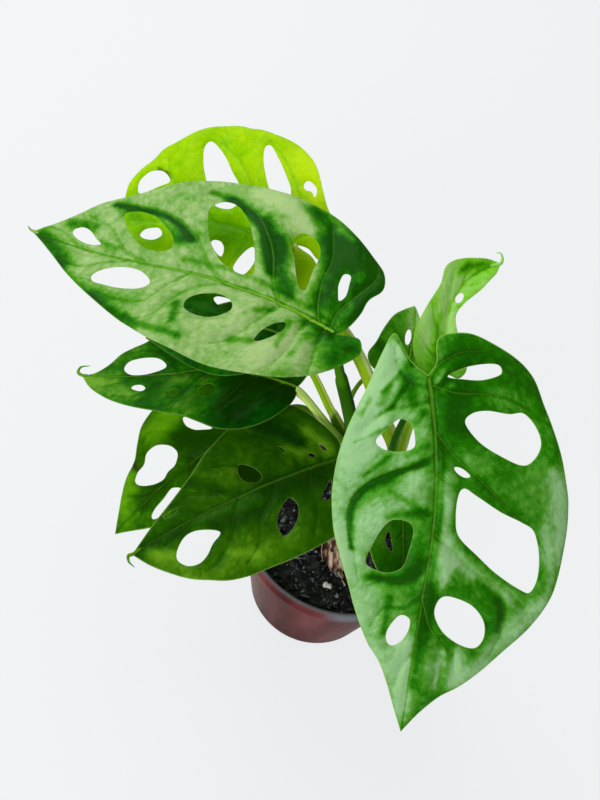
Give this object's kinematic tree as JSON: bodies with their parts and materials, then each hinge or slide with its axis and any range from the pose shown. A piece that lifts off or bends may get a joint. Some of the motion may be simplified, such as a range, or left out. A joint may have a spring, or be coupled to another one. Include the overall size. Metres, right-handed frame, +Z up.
{
  "type": "potted monstera adansonii plant",
  "caption": "Young aroid house plant with large pointed leaves that have oval holes, growing from two short shoots in a round plastic nursery pot of soil.",
  "frame": {"origin": "centre of the pot's flat bottom, on the surface that the pot stands on", "axes": "+Z up along the pot's axis; the large hanging leaf points to +X -Y and the large spread leaf to -X"},
  "size_m": [0.3129, 0.2593, 0.2327],
  "materials": {
    "pot": "thin glossy dusky rose-brown moulded plastic",
    "soil": "coarse black potting mix, matt",
    "perlite": "pale rough perlite",
    "dry_sheath": "dry papery tan sheath",
    "stalk": "smooth fresh green petiole, slightly glossy",
    "leaf": "waxy leaf skin, deep green with a pale sheen",
    "young_leaf": "thin young leaf, yellow-green, lets light through"
  },
  "bodies": {
    "root": {"pot": "pot", "soil": "soil", "perlite_1": "perlite", "perlite_2": "perlite", "perlite_3": "perlite", "dry_sheath": "dry_sheath", "shoot_left": "stalk", "shoot_right": "stalk", "petiole_large_left": "stalk", "petiole_large_right": "stalk", "petiole_top_back": "stalk", "petiole_middle_left": "stalk", "petiole_low_front": "stalk", "petiole_low_left": "stalk", "petiole_small_right": "stalk", "petiole_small_back": "stalk", "petiole_small_low": "stalk", "petiole_hidden_middle": "stalk", "blade_large_left": "leaf", "blade_large_right": "leaf", "blade_top_back": "young_leaf", "blade_middle_left": "leaf", "blade_low_front": "leaf", "blade_low_left": "leaf", "blade_small_right": "leaf", "blade_small_back": "leaf", "blade_small_low": "leaf", "blade_hidden_middle": "leaf"}
  },
  "joints": []
}
